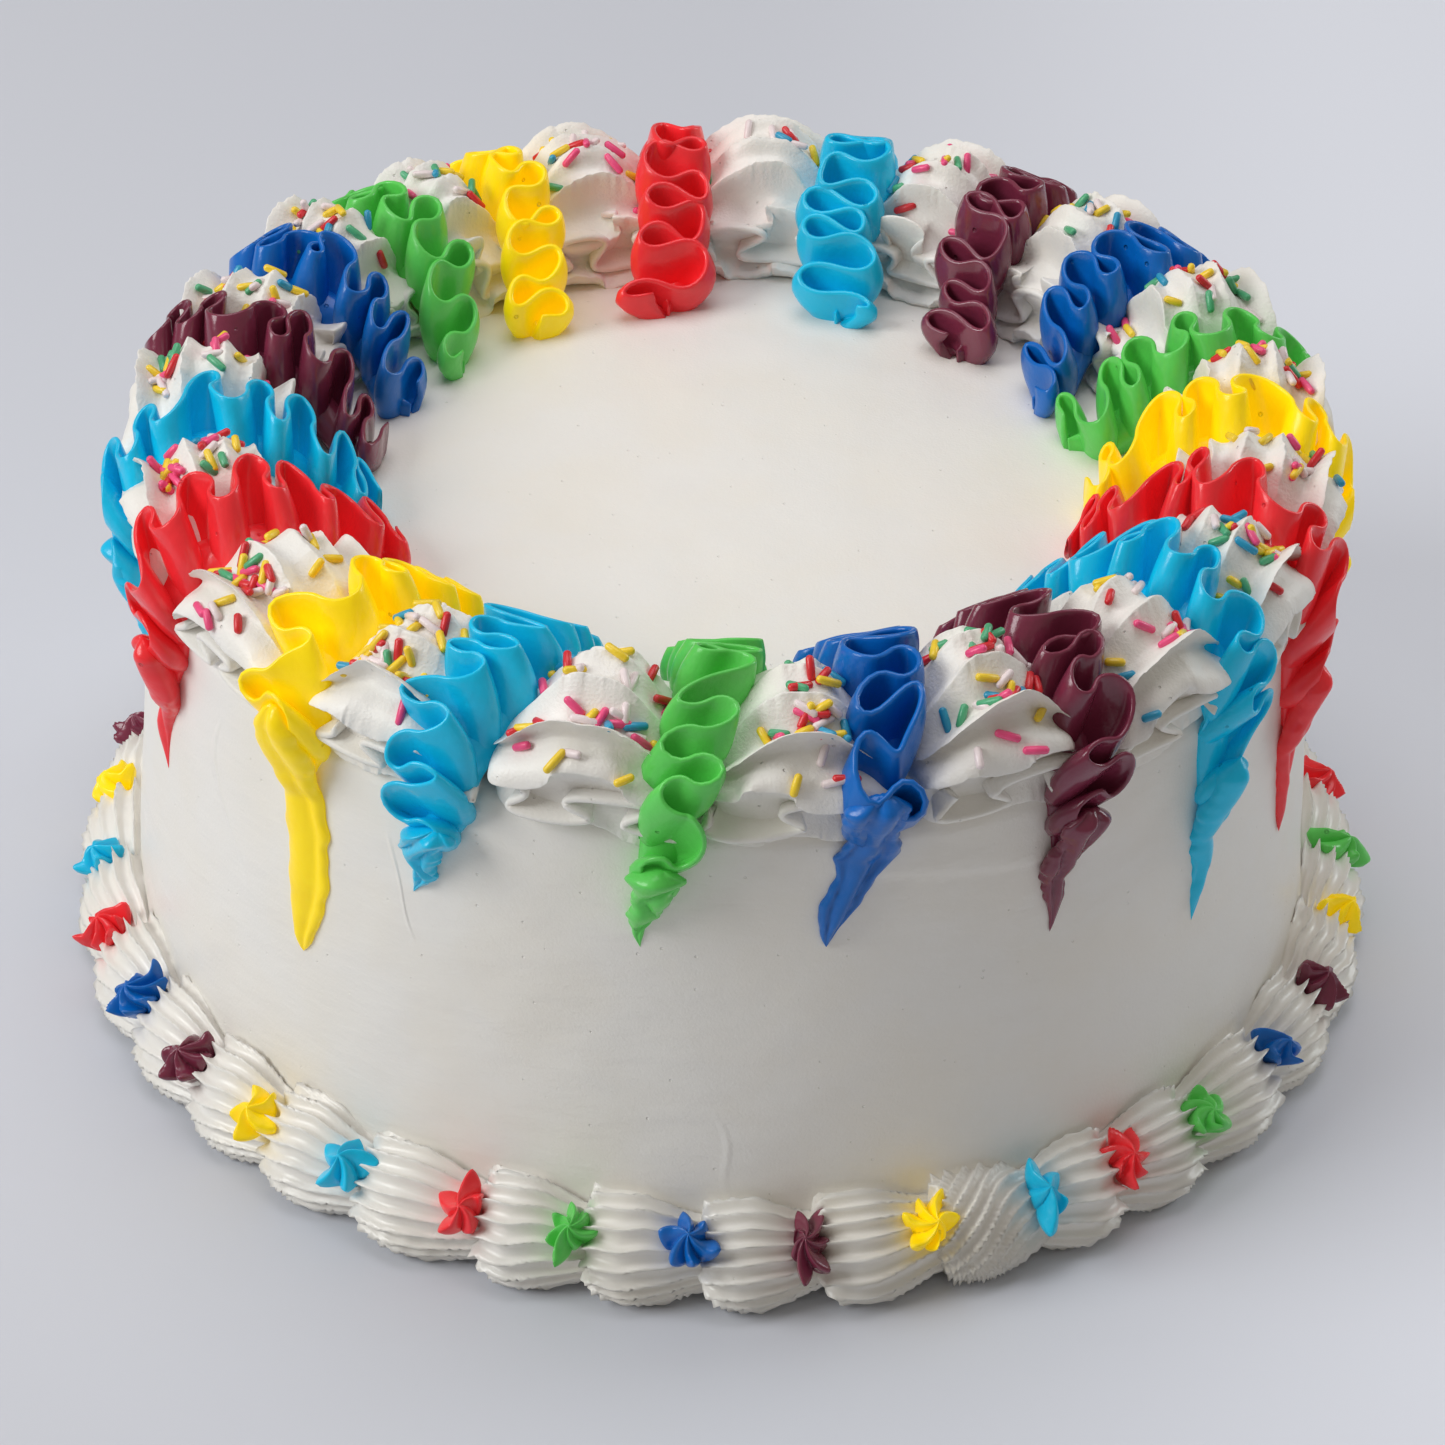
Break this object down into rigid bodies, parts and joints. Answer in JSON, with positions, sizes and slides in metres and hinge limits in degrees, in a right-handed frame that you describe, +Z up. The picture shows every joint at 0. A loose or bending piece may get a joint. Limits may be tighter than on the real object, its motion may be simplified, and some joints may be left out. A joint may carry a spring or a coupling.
{
  "type": "round decorated celebration cake",
  "caption": "Round white-iced party cake with swirled icing and coloured ruffled ribbons on the rim, sugar sprinkles, and a shell border with coloured stars at the foot.",
  "frame": {"origin": "centre of the cake's underside, on the surface it stands on", "axes": "+Z up, -Y towards the picture's camera, +X to the picture's right"},
  "size_m": [0.3051, 0.3049, 0.1456],
  "materials": {
    "cake_icing": "smooth whipped icing, satin",
    "border_icing": "piped whipped icing, soft gloss",
    "swirl_icing": "piped whipped icing, satin",
    "icing_red": "coloured icing, soft gloss",
    "icing_yellow": "coloured icing, soft gloss",
    "icing_green": "coloured icing, soft gloss",
    "icing_sky": "coloured icing, soft gloss",
    "icing_blue": "coloured icing, soft gloss",
    "icing_purple": "coloured icing, glossy",
    "sprinkle_pink": "sugar strand, soft gloss",
    "sprinkle_red": "sugar strand, soft gloss",
    "sprinkle_yellow": "sugar strand, soft gloss",
    "sprinkle_blue": "sugar strand, soft gloss",
    "sprinkle_green": "sugar strand, soft gloss",
    "sprinkle_white": "sugar strand, soft gloss"
  },
  "bodies": {
    "root": {"cake_body": "cake_icing", "base_border": "border_icing", "top_border": "swirl_icing", "ribbon_01": "icing_green", "ribbon_02": "icing_blue", "ribbon_03": "icing_purple", "ribbon_04": "icing_sky", "ribbon_05": "icing_red", "ribbon_06": "icing_yellow", "ribbon_07": "icing_green", "ribbon_08": "icing_blue", "ribbon_09": "icing_purple", "ribbon_10": "icing_sky", "ribbon_11": "icing_red", "ribbon_12": "icing_yellow", "ribbon_13": "icing_green", "ribbon_14": "icing_blue", "ribbon_15": "icing_purple", "ribbon_16": "icing_sky", "ribbon_17": "icing_red", "ribbon_18": "icing_yellow", "ribbon_19": "icing_sky", "star_01": "icing_purple", "star_02": "icing_yellow", "star_03": "icing_sky", "star_04": "icing_red", "star_05": "icing_blue", "star_06": "icing_purple", "star_07": "icing_yellow", "star_08": "icing_sky", "star_09": "icing_red", "star_10": "icing_green", "star_11": "icing_blue", "star_12": "icing_purple", "star_13": "icing_yellow", "star_14": "icing_sky", "star_15": "icing_red", "star_16": "icing_green", "star_17": "icing_blue", "star_18": "icing_purple", "star_19": "icing_yellow", "star_20": "icing_green", "star_21": "icing_red", "star_22": "icing_blue", "star_23": "icing_purple", "star_24": "icing_yellow", "star_25": "icing_sky", "star_26": "icing_red", "star_27": "icing_green", "star_28": "icing_blue", "star_29": "icing_purple", "star_30": "icing_yellow", "star_31": "icing_sky", "star_32": "icing_red", "star_33": "icing_green", "star_34": "icing_blue", "star_35": "icing_purple", "star_36": "icing_yellow"}
  },
  "joints": []
}
